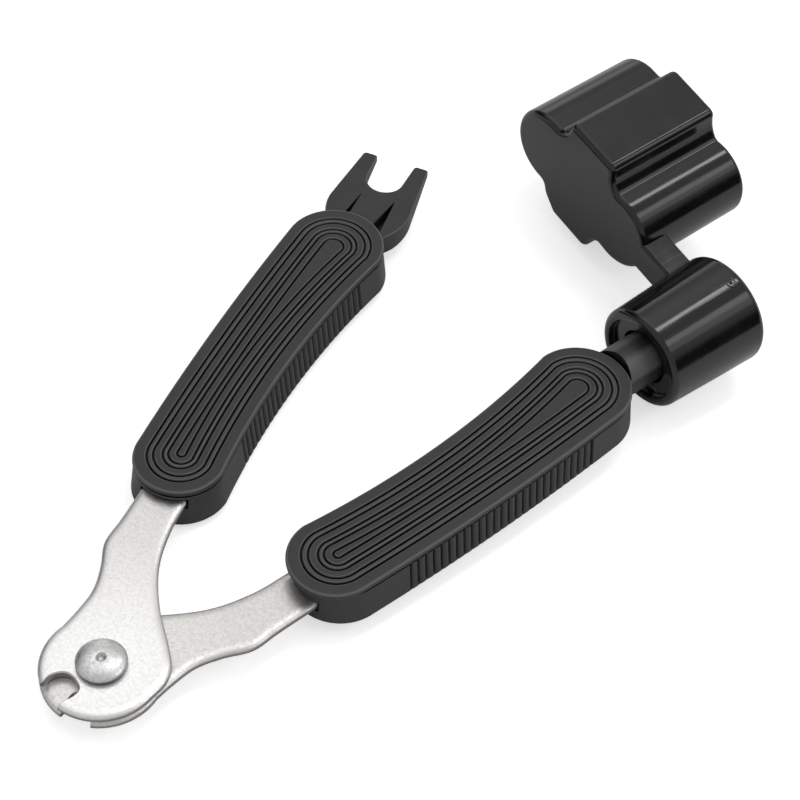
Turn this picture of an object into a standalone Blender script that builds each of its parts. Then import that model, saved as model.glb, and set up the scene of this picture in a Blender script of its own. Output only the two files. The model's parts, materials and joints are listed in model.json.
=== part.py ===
"""A plier-style guitar tool: two pivoted steel levers that cut string, a peg winder and a bridge-pin fork.

The frame has its origin on the pivot axis, in the plane of the rivet's flat tail and the backs of both grips. +Z is
the pivot axis, towards the domed rivet head, and +Y is the line that halves the angle between the levers. Lengths are
in metres. The levers' own frames have z = 0 midway between the two steel plates.

Each lever is drawn in its own frame: +Y runs along it from the pivot, and v is the distance from that line towards
the lever's outer side, which is -X on the left lever and +X on the right one.
"""

from math import atan2, cos, hypot, pi, radians, sin

import bmesh
import bpy
from mathutils import Matrix, Vector

MM = 0.001

# The pair of levers
HALF_OPENING_DEG = 15.65
PLATE_THICKNESS = 1.7 * MM
PLATE_GAP = 0.2 * MM
HEAD_RADIUS = 10.4 * MM
TANG_END = 78 * MM

# The pivot rivet and its washer
RIVET_SHANK_RADIUS = 3.0 * MM
RIVET_HOLE_RADIUS = 3.25 * MM
RIVET_HEAD_RADIUS = 4.3 * MM
RIVET_RIM_HEIGHT = 0.7 * MM
RIVET_DOME_HEIGHT = 1.2 * MM
RIVET_TAIL_RADIUS = 4.1 * MM
RIVET_DIMPLE_RADIUS = 0.7 * MM
RIVET_DIMPLE_DEPTH = 0.3 * MM
WASHER_RADIUS = 5.0 * MM
WASHER_THICKNESS = 0.8 * MM
STACK_GAP = 0.2 * MM

# The grips: two end circles joined by a bulged outer side and a hollow inner side
GRIP_NEAR_CENTRE = (6.0 * MM, 42.7 * MM)
GRIP_NEAR_RADIUS = 8.45 * MM
GRIP_FAR_CENTRE = (1.2 * MM, 101.8 * MM)
GRIP_FAR_RADIUS = 9.65 * MM
GRIP_OUTER_BULGE = 0.75 * MM
GRIP_INNER_HOLLOW = 2.4 * MM
RIGHT_BODY_SET_BACK = 1.2 * MM
GRIP_HALF_THICKNESS = 4.25 * MM
BODY_PROUD = 0.6 * MM
BODY_FOOT_EDGE = 0.3 * MM
COVER_THICKNESS = 1.1 * MM
COVER_EDGE = 0.45 * MM
COVER_LAND_INSET = 2.6 * MM
COVER_LAND_DEPTH = 0.6 * MM
BACK_COVER_INSET = 1.5 * MM
FIT_GAP = 0.3 * MM
TANG_CLEARANCE = 0.25 * MM
TANG_PIN_RADIUS = 1.25 * MM
TANG_PIN_PLACES = ((5.0 * MM, 50 * MM), (3.6 * MM, 69 * MM))

# The bridge-pin fork on the left grip
FORK_TIP = 132.2 * MM
FORK_ROOT = 104 * MM
FORK_BASE = 112 * MM
FORK_TIP_HALF_WIDTH = 7.05 * MM
FORK_SHOULDER = 117.5 * MM
FORK_SHOULDER_HALF_WIDTH = 8.5 * MM
FORK_ROOT_HALF_WIDTH = 6.0 * MM
FORK_NOTCH_MOUTH = 4.0 * MM
FORK_NOTCH_RADIUS = 3.7 * MM
FORK_NOTCH_DEPTH = 10.0 * MM
FORK_TOP_AT_TIP = 0.7 * MM
FORK_TOP_AT_BASE = 1.4 * MM
FORK_BOTTOM_AT_TIP = -0.8 * MM
FORK_BOTTOM_AT_BASE = -3.3 * MM

# The spindle on the right grip, and the winder that turns on it
SPINDLE_ANCHOR = (0.35 * MM, 118 * MM, 0.38 * MM)
SPINDLE_RISE_DEG = 2.6
NECK_RADIUS = 5.0 * MM
NECK_END = 122.0 * MM
POST_RADIUS = 3.4 * MM
POST_END = 134.6 * MM
HUB_START = 117.45 * MM
HUB_END = 140.0 * MM
HUB_START_RADIUS = 10.3 * MM
HUB_END_RADIUS = 11.1 * MM
MOUTH_RADIUS = 8.8 * MM
MOUTH_END = 122.6 * MM
BUSH_SEAT_RADIUS = 5.2 * MM
BUSH_SEAT_END = 132.4 * MM
WEB_HOLE_RADIUS = 3.7 * MM
WEB_END = 134.2 * MM
SCREW_WELL_RADIUS = 6.2 * MM
SPINDLE_WASHER_RADIUS = 5.2 * MM
SCREW_HEAD_RADIUS = 3.3 * MM
SCREW_HEAD_HEIGHT = 1.9 * MM
SCREW_SHANK_RADIUS = 1.35 * MM
SCREW_HOLE_RADIUS = 1.65 * MM
SCREW_LENGTH = 11 * MM

# The crank arm and the peg cap, in the plane square to the spindle
CRANK_TILT_DEG = 11.8
CAP_START = 132.45 * MM
CAP_DEPTH = 26.8 * MM
CAP_WALL = 1.7 * MM
CAP_FLOOR = 2.0 * MM
ARM_HALF_WIDTH = 3.6 * MM
ARM_THICKNESS = 6.0 * MM
LOBE_RADIUS = 8.45 * MM
NEAR_LOBE = 25.2 * MM
FAR_LOBE = 47.2 * MM
BLOCK_START = 30.25 * MM
BLOCK_END = 43.35 * MM
BLOCK_HALF_WIDTH = 13.55 * MM
BLOCK_CORNER = 1.6 * MM
BLOCK_CHAMFER = 2.6 * MM
BLOCK_SHOULDER = 1.2 * MM

ROUND_STEPS = 48


# ---------------------------------------------------------------- helpers


def clear_scene():
    for obj in list(bpy.data.objects):
        bpy.data.objects.remove(obj, do_unlink=True)


def principled(name, colour, roughness, metallic):
    material = bpy.data.materials.new(name)
    material.use_nodes = True
    shader = material.node_tree.nodes["Principled BSDF"]
    shader.inputs["Base Color"].default_value = (*colour, 1)
    shader.inputs["Roughness"].default_value = roughness
    shader.inputs["Metallic"].default_value = metallic
    return material


def add_object(name, mesh_maker, parent=None):
    """A new object in its parent's frame, with a closed, outward-facing mesh."""
    mesh = bpy.data.meshes.new(name)
    bmesh.ops.recalc_face_normals(mesh_maker, faces=mesh_maker.faces)
    mesh_maker.to_mesh(mesh)
    mesh_maker.free()
    obj = bpy.data.objects.new(name, mesh)
    bpy.context.scene.collection.objects.link(obj)
    obj.parent = parent
    return obj


def add_frame(name, place, parent=None):
    """An empty that holds a frame, placed in its parent's."""
    empty = bpy.data.objects.new(name, None)
    bpy.context.scene.collection.objects.link(empty)
    empty.parent = parent
    empty.matrix_basis = place
    return empty


def prism(outline, bottom, top):
    """A prism on a closed outline; bottom and top are heights, or functions of y that give them."""
    maker = bmesh.new()
    low = bottom if callable(bottom) else lambda y: bottom
    high = top if callable(top) else lambda y: top
    lower = [maker.verts.new((x, y, low(y))) for x, y in outline]
    upper = [maker.verts.new((x, y, high(y))) for x, y in outline]
    maker.faces.new(lower)
    maker.faces.new(upper)
    for i in range(len(outline)):
        j = (i + 1) % len(outline)
        maker.faces.new((lower[i], lower[j], upper[j], upper[i]))
    return maker


def lathe(profile, steps=ROUND_STEPS, axis="Y"):
    """Spins (radius, distance) points about the axis; the first and last points are on it, or the profile closes."""
    maker = bmesh.new()
    points = [Vector((r, d, 0)) if axis == "Y" else Vector((r, 0, d)) for r, d in profile]
    verts = [maker.verts.new(p) for p in points]
    closed = profile[0][0] > 0
    pairs = zip(verts, verts[1:] + verts[:1]) if closed else zip(verts, verts[1:])
    edges = [maker.edges.new(pair) for pair in pairs]
    direction = (0, 1, 0) if axis == "Y" else (0, 0, 1)
    bmesh.ops.spin(maker, geom=verts + edges, axis=direction, cent=(0, 0, 0), angle=2 * pi, steps=steps)
    bmesh.ops.remove_doubles(maker, verts=maker.verts, dist=1e-7)
    return maker


def stacked(rings):
    """A solid through closed outlines with the same number of points, as (outline, height) from one end to the other."""
    maker = bmesh.new()
    loops = [[maker.verts.new((x, y, height)) for x, y in outline] for outline, height in rings]
    maker.faces.new(loops[0])
    maker.faces.new(loops[-1])
    for low, high in zip(loops, loops[1:]):
        for i in range(len(low)):
            j = (i + 1) % len(low)
            maker.faces.new((low[i], low[j], high[j], high[i]))
    return maker


def disc_z(radius, centre, bottom, top, steps=24):
    x, y = centre
    return prism(arc((x, y), radius, 0, 2 * pi, steps)[:-1], bottom, top)


def combine(obj, other, operation):
    """Cuts another object from this one or joins it on, then removes the other."""
    modifier = obj.modifiers.new(other.name, "BOOLEAN")
    modifier.operation = operation
    modifier.object = other
    modifier.solver = "EXACT"
    bpy.context.view_layer.update()
    graph = bpy.context.evaluated_depsgraph_get()
    result = bpy.data.meshes.new_from_object(obj.evaluated_get(graph))
    obj.modifiers.clear()
    old = obj.data
    obj.data = result
    bpy.data.meshes.remove(old)
    bpy.data.objects.remove(other, do_unlink=True)


def cut(obj, maker):
    combine(obj, add_object("cutter", maker, obj.parent), "DIFFERENCE")


def join(obj, maker):
    combine(obj, add_object("addition", maker, obj.parent), "UNION")


def finish(obj, material, round_edges=0.0, smooth_deg=35):
    obj.data.materials.clear()
    obj.data.materials.append(material)
    if round_edges:
        bevel = obj.modifiers.new("rounded edges", "BEVEL")
        bevel.width = round_edges
        bevel.segments = 2
        bevel.limit_method = "ANGLE"
        bevel.angle_limit = radians(50)
    obj.data.shade_smooth()
    obj.data.set_sharp_from_angle(angle=radians(smooth_deg))
    return obj


# ---------------------------------------------------------------- outlines


def arc(centre, radius, start, end, steps):
    return [
        (centre[0] + radius * cos(start + (end - start) * i / steps),
         centre[1] + radius * sin(start + (end - start) * i / steps))
        for i in range(steps + 1)
    ]


def flowing(points, steps=4):
    """A smooth curve through the points, without its first and last one (Catmull-Rom)."""
    curve = []
    for a, b, c, d in zip(points, points[1:], points[2:], points[3:]):
        for i in range(steps):
            t = i / steps
            curve.append(tuple(
                0.5 * (2 * q + (r - p) * t + (2 * p - 5 * q + 4 * r - s) * t**2 + (3 * q - p - 3 * r + s) * t**3)
                for p, q, r, s in zip(a, b, c, d)
            ))
    curve.append(points[-2])
    return curve


def bowed(start, end, bow, steps=16):
    """Points between two ends on a shallow bow to the left of the way from start to end, without the ends."""
    along = Vector(end) - Vector(start)
    side = Vector((-along.y, along.x)).normalized()
    points = []
    for i in range(1, steps):
        t = i / steps
        points.append(tuple(Vector(start) + along * t + side * bow * 4 * t * (1 - t)))
    return points


def grip_outline(grow=0.0, set_back=0.0):
    """The grip's outline in (v, y), grown outwards, with its near end moved away from the pivot."""
    near, far = Vector(GRIP_NEAR_CENTRE) + Vector((0, set_back)), Vector(GRIP_FAR_CENTRE)
    near_radius, far_radius = GRIP_NEAR_RADIUS + grow, GRIP_FAR_RADIUS + grow
    heading = atan2(far.y - near.y, far.x - near.x)
    outer = heading - pi / 2
    near_cap = arc(near, near_radius, outer - pi, outer, 20)
    far_cap = arc(far, far_radius, outer, outer + pi, 22)
    outer_side = bowed(near_cap[-1], far_cap[0], -GRIP_OUTER_BULGE)
    inner_side = bowed(far_cap[-1], near_cap[0], GRIP_INNER_HOLLOW)
    return near_cap + outer_side + far_cap + inner_side


def lever_outline(grow=0.0):
    """The steel plate's outline in (v, y): a round head, a waist and a tapering tang."""
    outer_waist = flowing([(v * MM, y * MM) for v, y in (
        (10.35, 1.0), (9.45, 4.35), (8.6, 8.4), (8.15, 12.8), (9.1, 17.5), (10.8, 22.5), (10.4, 28.0), (10.0, 36.0),
        (9.8, 42.0)
    )])
    inner_waist = flowing([(v * MM, y * MM) for v, y in (
        (1.4, 44.0), (1.5, 36.0), (1.5, 29.0), (0.0, 21.4), (-3.7, 14.0), (-8.5, 7.45), (-10.6, 4.0), (-11.0, 0.8),
        (-10.1, -2.5), (-8.9, -5.4)
    )])
    tang = [(6.4 * MM, TANG_END - 1.5 * MM), (5.0 * MM, TANG_END), (1.4 * MM, TANG_END),
            (0.2 * MM, TANG_END - 1.5 * MM), (1.2 * MM, 50 * MM)]
    start = atan2(inner_waist[-1][1], inner_waist[-1][0]) % (2 * pi) - 2 * pi
    end = atan2(outer_waist[0][1], outer_waist[0][0])
    head = arc((0, 0), HEAD_RADIUS, start, end, 36)
    outline = head + outer_waist[1:] + tang + inner_waist[:-1]
    if not grow:
        return outline
    return grown(outline, grow)


def grown(outline, distance):
    """The outline moved outwards along its corners' normals."""
    result = []
    for i, point in enumerate(outline):
        before, after = Vector(outline[i - 1]), Vector(outline[(i + 1) % len(outline)])
        along = (after - before).normalized()
        result.append((point[0] + along.y * distance, point[1] - along.x * distance))
    return result


def placed(outline, side):
    """(v, y) points as (x, y) on one side, in anticlockwise order on both."""
    points = [(side * v, y) for v, y in outline]
    return points if side > 0 else points[::-1]


def notch_outline():
    """The string notch: a hooked slot that runs in from the head's rim on the outer side."""
    return [(v * MM, y * MM) for v, y in (
        (9.0, -8.0), (7.3, -6.9), (6.7, -5.4), (5.7, -4.3), (4.6, -3.8), (3.5, -3.9), (2.4, -4.5), (1.5, -5.3),
        (1.2, -6.2), (1.6, -7.4), (2.4, -8.5), (2.9, -9.6), (3.2, -12.0), (8.0, -12.0)
    )]


def fork_outline():
    """Two tines on either side of a U notch, in (v, y), with sides that draw in to a root inside the grip."""
    notch_centre = FORK_TIP - FORK_NOTCH_DEPTH + FORK_NOTCH_RADIUS
    notch = arc((0, notch_centre), FORK_NOTCH_RADIUS, 0, -pi, 14)
    side = [(FORK_ROOT_HALF_WIDTH, FORK_ROOT), (FORK_ROOT_HALF_WIDTH, FORK_BASE - 2 * MM)]
    side += bowed(side[-1], (FORK_SHOULDER_HALF_WIDTH, FORK_SHOULDER), -0.7 * MM, 6)
    side += [(FORK_SHOULDER_HALF_WIDTH, FORK_SHOULDER), (FORK_TIP_HALF_WIDTH, FORK_TIP), (FORK_NOTCH_MOUTH, FORK_TIP)]
    return side + notch + [(-v, y) for v, y in reversed(side)]


def cap_outline(shrink=0.0):
    """The peg cap's outline as (distance along the arm, across it): two round lobes and a block with one cut corner."""
    radius = LOBE_RADIUS - shrink
    start, end = BLOCK_START + shrink, BLOCK_END - shrink
    half = BLOCK_HALF_WIDTH - shrink
    corner = BLOCK_CORNER if not shrink else BLOCK_CORNER * 0.6
    far_lobe = arc((FAR_LOBE, 0), radius, -0.42 * pi, 0.42 * pi, 18)
    near_lobe = arc((NEAR_LOBE, 0), radius, 0.6 * pi, 1.4 * pi, 18)
    shoulder = radius + BLOCK_SHOULDER
    far_upper = [(end + 2.2 * MM, radius), (end + 1.0 * MM, shoulder + 1.0 * MM), (end - BLOCK_CHAMFER, half)]
    far_lower = [(end + 2.2 * MM, radius), (end + 0.6 * MM, shoulder)]
    far_lower += arc((end - corner, half - corner), corner, 0, pi / 2, 4)
    near_side = arc((start + corner, half - corner), corner, pi / 2, pi, 4)
    near_side += [(start - 0.7 * MM, shoulder + 0.4 * MM), (start - 2.4 * MM, radius + 0.2 * MM)]
    lower = [(s, -t) for s, t in reversed(far_lower + near_side)]
    return far_lobe + far_upper + near_side + near_lobe + lower


# ---------------------------------------------------------------- levers and rivet


def make_lever(name, frame, side, bottom, steel):
    lever = add_object(name, prism(placed(lever_outline(), side), bottom, bottom + PLATE_THICKNESS), frame)
    past = 1 * MM
    low, high = bottom - past, bottom + PLATE_THICKNESS + past
    cut(lever, disc_z(RIVET_HOLE_RADIUS, (0, 0), low, high, 36))
    cut(lever, prism(placed(notch_outline(), side), low, high))
    for v, y in TANG_PIN_PLACES:
        cut(lever, disc_z(TANG_PIN_RADIUS + FIT_GAP, (side * v, y), low, high, 20))
    return finish(lever, steel)


def make_pivot_rivet(frame, steel):
    seat = PLATE_GAP / 2 + PLATE_THICKNESS + STACK_GAP
    tail_top = -seat - WASHER_THICKNESS - STACK_GAP
    tail_bottom = -GRIP_HALF_THICKNESS
    rim_top = seat + RIVET_RIM_HEIGHT
    dome = []
    for i in range(9):
        radius = RIVET_HEAD_RADIUS * (1 - i / 8 * (1 - RIVET_DIMPLE_RADIUS / RIVET_HEAD_RADIUS))
        height = rim_top + RIVET_DOME_HEIGHT * (1 - (radius / RIVET_HEAD_RADIUS) ** 2) ** 0.75
        dome.append((radius, height))
    profile = [(0, tail_bottom), (RIVET_TAIL_RADIUS - 0.5 * MM, tail_bottom),
               (RIVET_TAIL_RADIUS, tail_bottom + 0.5 * MM), (RIVET_TAIL_RADIUS, tail_top),
               (RIVET_SHANK_RADIUS, tail_top), (RIVET_SHANK_RADIUS, seat), (RIVET_HEAD_RADIUS, seat)]
    profile += dome
    profile.append((0, dome[-1][1] - RIVET_DIMPLE_DEPTH))
    return finish(add_object("pivot_rivet", lathe(profile, axis="Z"), frame), steel)


def make_pivot_washer(frame, steel):
    top = -(PLATE_GAP / 2 + PLATE_THICKNESS + STACK_GAP)
    bottom = top - WASHER_THICKNESS
    profile = [(RIVET_HOLE_RADIUS + 0.05 * MM, bottom), (WASHER_RADIUS, bottom),
               (WASHER_RADIUS, top), (RIVET_HOLE_RADIUS + 0.05 * MM, top)]
    return finish(add_object("pivot_washer", lathe(profile, axis="Z"), frame), steel)


# ---------------------------------------------------------------- grips


def body_top():
    return GRIP_HALF_THICKNESS - COVER_THICKNESS - FIT_GAP


def back_recess_floor():
    return -body_top()


def make_grip_body(name, frame, side, plate_bottom, set_back, plastic, addition):
    """The moulded core: a slot for the tang, pin holes, a seat for the front cover's land and a recess for the back."""
    foot = -GRIP_HALF_THICKNESS
    wall = placed(grip_outline(BODY_PROUD, set_back), side)
    body = add_object(name, stacked([(placed(grip_outline(BODY_PROUD - BODY_FOOT_EDGE, set_back), side), foot),
                                     (wall, foot + BODY_FOOT_EDGE), (wall, body_top())]), frame)
    addition(body, side)
    slot = [(v, y) for v, y in lever_outline(TANG_CLEARANCE) if y > 30 * MM]
    cut(body, prism(placed(slot, side), plate_bottom - TANG_CLEARANCE,
                    plate_bottom + PLATE_THICKNESS + TANG_CLEARANCE))
    past = 1 * MM
    cut(body, prism(placed(grip_outline(-COVER_LAND_INSET + FIT_GAP), side), body_top() - COVER_LAND_DEPTH,
                    body_top() + past))
    cut(body, prism(placed(grip_outline(-BACK_COVER_INSET + FIT_GAP), side), foot - past, back_recess_floor()))
    for v, y in TANG_PIN_PLACES:
        cut(body, disc_z(TANG_PIN_RADIUS + FIT_GAP, (side * v, y), foot - past, body_top() + past, 20))
    return finish(body, plastic)


def add_fork(body, side):
    """Joins the bridge-pin fork to the grip's far end: a wedge that thins towards its two tines."""
    def between(at_base, at_tip):
        return lambda y: at_base + (at_tip - at_base) * max(0, y - FORK_BASE) / (FORK_TIP - FORK_BASE)
    fork = add_object("fork", prism(placed(fork_outline(), side), between(FORK_BOTTOM_AT_BASE, FORK_BOTTOM_AT_TIP),
                                    between(FORK_TOP_AT_BASE, FORK_TOP_AT_TIP)), body.parent)
    combine(body, fork, "UNION")


def spindle_place():
    """The spindle's frame in the right lever's: its own +Y is the winder's axis, which rises slightly from the grip."""
    rise = Matrix.Rotation(radians(SPINDLE_RISE_DEG), 4, "X")
    return Matrix.Translation(SPINDLE_ANCHOR) @ rise @ Matrix.Translation((0, -SPINDLE_ANCHOR[1], 0))


def add_spindle(body, side):
    """Joins the winder's neck and post to the grip's far end, and drills the post for its screw."""
    start = GRIP_FAR_CENTRE[1] + 2 * MM
    neck = lathe([(0, start), (NECK_RADIUS, start), (NECK_RADIUS, NECK_END), (POST_RADIUS, NECK_END),
                  (POST_RADIUS, POST_END), (0, POST_END)], 40)
    bmesh.ops.transform(neck, verts=neck.verts, matrix=spindle_place())
    spindle = add_object("spindle", neck, body.parent)
    around_grip = placed(grip_outline(BODY_PROUD + 0.1 * MM), side)
    cut(spindle, prism(around_grip, body_top() - 0.01 * MM, 10 * MM))
    cut(spindle, prism(around_grip, -10 * MM, -GRIP_HALF_THICKNESS + BODY_FOOT_EDGE))
    combine(body, spindle, "UNION")
    hole = lathe([(0, POST_END - SCREW_LENGTH), (SCREW_HOLE_RADIUS, POST_END - SCREW_LENGTH),
                  (SCREW_HOLE_RADIUS, POST_END + 1 * MM), (0, POST_END + 1 * MM)], 20)
    bmesh.ops.transform(hole, verts=hole.verts, matrix=spindle_place())
    cut(body, hole)


def make_front_cover(name, frame, side, plastic):
    """A cover plate with a rounded edge, and a land on its underside that drops into the body's seat."""
    top = GRIP_HALF_THICKNESS
    under = top - COVER_THICKNESS
    rings = [(0.0, under), (0.0, top - COVER_EDGE), (-0.3 * COVER_EDGE, top - 0.3 * COVER_EDGE), (-COVER_EDGE, top)]
    cover = add_object(name, stacked([(placed(grip_outline(grow), side), height) for grow, height in rings]), frame)
    join(cover, prism(placed(grip_outline(-COVER_LAND_INSET), side), under - COVER_LAND_DEPTH, under + 0.2 * MM))
    return finish(cover, plastic)


def make_back_cover(name, frame, side, plastic):
    """A flat plate let in flush with the body's back."""
    back = -GRIP_HALF_THICKNESS
    outline = placed(grip_outline(-BACK_COVER_INSET), side)
    return finish(add_object(name, prism(outline, back, back + COVER_THICKNESS), frame), plastic)


def make_tang_pin(name, frame, side, place, steel):
    v, y = place
    bottom = back_recess_floor() + 0.1 * MM
    top = body_top() - COVER_LAND_DEPTH - 0.1 * MM
    return finish(add_object(name, disc_z(TANG_PIN_RADIUS, (side * v, y), bottom, top, 20), frame), steel)


# ---------------------------------------------------------------- winder


def make_winder_crank(frame, plastic):
    """One moulding, drawn with the spindle axis as its own +Y and the arm along its own +X."""
    crank = add_object("winder_crank", lathe([(0, HUB_START), (HUB_START_RADIUS, HUB_START),
                                              (HUB_END_RADIUS, HUB_END), (0, HUB_END)]), frame)
    arm_end = CAP_START + ARM_THICKNESS
    join(crank, standing_prism([(HUB_START_RADIUS - 3 * MM, -ARM_HALF_WIDTH), (NEAR_LOBE, -ARM_HALF_WIDTH),
                                (NEAR_LOBE, ARM_HALF_WIDTH), (HUB_START_RADIUS - 3 * MM, ARM_HALF_WIDTH)],
                               CAP_START + 0.02 * MM, arm_end))
    join(crank, standing_prism(cap_outline(), CAP_START, CAP_START + CAP_DEPTH))
    cut(crank, standing_prism(cap_outline(CAP_WALL), CAP_START + CAP_FLOOR, CAP_START + CAP_DEPTH + 1 * MM))
    for radius, start, end in ((MOUTH_RADIUS, HUB_START - 1 * MM, MOUTH_END),
                               (BUSH_SEAT_RADIUS, MOUTH_END - 1 * MM, BUSH_SEAT_END),
                               (WEB_HOLE_RADIUS, BUSH_SEAT_END - 1 * MM, WEB_END + 1 * MM),
                               (SCREW_WELL_RADIUS, WEB_END, HUB_END + 1 * MM)):
        cut(crank, lathe([(0, start), (radius, start), (radius, end), (0, end)], 36))
    return finish(crank, plastic)


def standing_prism(outline, start, end):
    """A prism whose outline lies square to Y, in (x, z), between two distances along Y."""
    maker = prism([(x, z) for x, z in outline], -end, -start)
    bmesh.ops.rotate(maker, verts=maker.verts, cent=(0, 0, 0), matrix=Matrix.Rotation(pi / 2, 3, "X"))
    return maker


def make_hub_bush(frame, nylon):
    inner, outer = POST_RADIUS + FIT_GAP, BUSH_SEAT_RADIUS - FIT_GAP
    start, end = MOUTH_END + 0.1 * MM, BUSH_SEAT_END - FIT_GAP
    return finish(add_object("hub_bush", lathe([(inner, start), (outer, start), (outer, end), (inner, end)], 36),
                             frame), nylon)


def make_spindle_washer(frame, steel):
    start = POST_END + FIT_GAP
    profile = [(SCREW_HOLE_RADIUS, start), (SPINDLE_WASHER_RADIUS, start),
               (SPINDLE_WASHER_RADIUS, start + 0.7 * MM), (SCREW_HOLE_RADIUS, start + 0.7 * MM)]
    return finish(add_object("spindle_washer", lathe(profile, 32), frame), steel)


def make_spindle_screw(frame, steel):
    seat = POST_END + 2 * FIT_GAP + 0.7 * MM
    top = seat + SCREW_HEAD_HEIGHT
    profile = [(0, seat - SCREW_LENGTH), (SCREW_SHANK_RADIUS, seat - SCREW_LENGTH + 1 * MM),
               (SCREW_SHANK_RADIUS, seat), (SCREW_HEAD_RADIUS, seat),
               (SCREW_HEAD_RADIUS, seat + 0.6 * SCREW_HEAD_HEIGHT),
               (SCREW_HEAD_RADIUS * 0.75, top), (0, top)]
    screw = add_object("spindle_screw", lathe(profile, 28), frame)
    for half_x, half_z in ((1.9 * MM, 0.35 * MM), (0.35 * MM, 1.9 * MM)):
        slot = [(-half_x, -half_z), (half_x, -half_z), (half_x, half_z), (-half_x, half_z)]
        cut(screw, standing_prism(slot, top - 1.0 * MM, top + 1 * MM))
    return finish(screw, steel)


# ---------------------------------------------------------------- assembly


def main():
    clear_scene()
    plate_steel = principled("stamped steel", (0.72, 0.71, 0.69), 0.32, 1.0)
    rivet_steel = principled("rivet steel", (0.42, 0.42, 0.41), 0.35, 1.0)
    grip_plastic = principled("matt black plastic", (0.018, 0.018, 0.018), 0.55, 0.0)
    gloss_plastic = principled("gloss black plastic", (0.012, 0.012, 0.013), 0.12, 0.0)
    nylon = principled("nylon", (0.05, 0.05, 0.05), 0.4, 0.0)

    middle = Matrix.Translation((0, 0, GRIP_HALF_THICKNESS))
    left = add_frame("left_lever_frame", middle @ Matrix.Rotation(radians(HALF_OPENING_DEG), 4, "Z"))
    right = add_frame("right_lever_frame", middle @ Matrix.Rotation(-radians(HALF_OPENING_DEG), 4, "Z"))
    turned = Matrix.Rotation(pi + radians(CRANK_TILT_DEG), 4, "Y")
    spindle = add_frame("spindle_frame", spindle_place() @ turned, right)

    upper_bottom = PLATE_GAP / 2
    lower_bottom = -PLATE_GAP / 2 - PLATE_THICKNESS
    make_lever("upper_lever", left, -1, upper_bottom, plate_steel)
    make_lever("lower_lever", right, 1, lower_bottom, plate_steel)
    make_pivot_rivet(left, rivet_steel)
    make_pivot_washer(left, rivet_steel)

    for name, frame, side, plate_bottom, set_back, addition in (
        ("left", left, -1, upper_bottom, 0, add_fork),
        ("right", right, 1, lower_bottom, RIGHT_BODY_SET_BACK, add_spindle),
    ):
        make_grip_body(f"{name}_grip_body", frame, side, plate_bottom, set_back, grip_plastic, addition)
        make_front_cover(f"{name}_grip_front_cover", frame, side, grip_plastic)
        make_back_cover(f"{name}_grip_back_cover", frame, side, grip_plastic)
        for order, place in zip(("near", "far"), TANG_PIN_PLACES):
            make_tang_pin(f"{name}_tang_pin_{order}", frame, side, place, rivet_steel)

    make_winder_crank(spindle, gloss_plastic)
    make_hub_bush(spindle, nylon)
    make_spindle_washer(spindle, rivet_steel)
    make_spindle_screw(spindle, rivet_steel)


main()
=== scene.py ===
"""The looks of a plier-style guitar tool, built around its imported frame.

Each lever is drawn in its own frame, in (v, y): +Y runs along it from the pivot, and v is the distance from
that line towards the lever's outer side, which is -X on the left lever and +X on the right one. The crank is
drawn in a frame whose +Y is the spindle axis and whose +X runs along the arm. Lengths are in metres.
"""

import json
from math import asin, atan2, cos, pi, radians, sin

import bmesh
import bpy
from mathutils import Matrix, Vector


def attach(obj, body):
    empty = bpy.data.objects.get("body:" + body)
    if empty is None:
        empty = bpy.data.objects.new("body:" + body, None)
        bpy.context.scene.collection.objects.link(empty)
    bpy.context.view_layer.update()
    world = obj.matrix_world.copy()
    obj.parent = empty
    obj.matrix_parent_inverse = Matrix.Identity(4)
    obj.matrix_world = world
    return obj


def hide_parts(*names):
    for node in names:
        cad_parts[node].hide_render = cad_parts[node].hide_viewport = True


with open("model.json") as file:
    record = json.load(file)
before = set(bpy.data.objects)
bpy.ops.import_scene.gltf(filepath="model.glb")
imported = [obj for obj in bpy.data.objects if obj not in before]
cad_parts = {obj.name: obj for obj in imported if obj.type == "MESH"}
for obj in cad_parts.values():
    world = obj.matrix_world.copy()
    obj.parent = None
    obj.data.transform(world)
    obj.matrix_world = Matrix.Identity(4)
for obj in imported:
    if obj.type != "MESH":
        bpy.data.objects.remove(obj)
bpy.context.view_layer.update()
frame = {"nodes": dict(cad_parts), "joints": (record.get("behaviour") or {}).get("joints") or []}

MM = 0.001

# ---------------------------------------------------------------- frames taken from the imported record

JOINTS = {joint["name"]: joint for joint in frame["joints"]}
PIVOT = Vector(JOINTS["handle_pivot"]["pos_m"])
SPINDLE = Vector(JOINTS["winder_spin"]["pos_m"])
SPINDLE_AXIS = Vector(JOINTS["winder_spin"]["axis"])
HALF_OPENING = atan2(SPINDLE_AXIS.x, SPINDLE_AXIS.y)
CRANK_TILT = radians(11.8)
SPINDLE_ALONG = 128 * MM

LEFT = Matrix.Translation(PIVOT) @ Matrix.Rotation(HALF_OPENING, 4, "Z")
RIGHT = Matrix.Translation(PIVOT) @ Matrix.Rotation(-HALF_OPENING, 4, "Z")
AXLE = (Matrix.Translation(SPINDLE) @ Matrix.Rotation(-HALF_OPENING, 4, "Z")
        @ Matrix.Rotation(asin(SPINDLE_AXIS.z), 4, "X") @ Matrix.Translation((0, -SPINDLE_ALONG, 0)))
CRANK = AXLE @ Matrix.Rotation(pi + CRANK_TILT, 4, "Y")

# ---------------------------------------------------------------- sizes

PLATE_THICKNESS = 1.7 * MM
PLATE_GAP = 0.2 * MM
HEAD_RADIUS = 10.4 * MM
TANG_END = 78 * MM
RIM_WIDTH = 1.7 * MM
# (share of the rim's width in from the edge, drop below the flat face in mm)
RIM_ROLL = (
    (1.0, 0.0), (0.8, 0.015), (0.62, 0.05), (0.45, 0.11), (0.3, 0.19), (0.16, 0.3), (0.06, 0.42), (0.0, 0.56),
)
# Inside the grip the rolled rim fades to this share of its width
RIM_FADE_END = 46 * MM
RIM_FADE = 4 * MM
RIM_LEAST_SHARE = 0.12
NOTCH_EDGE = 0.22 * MM

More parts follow.
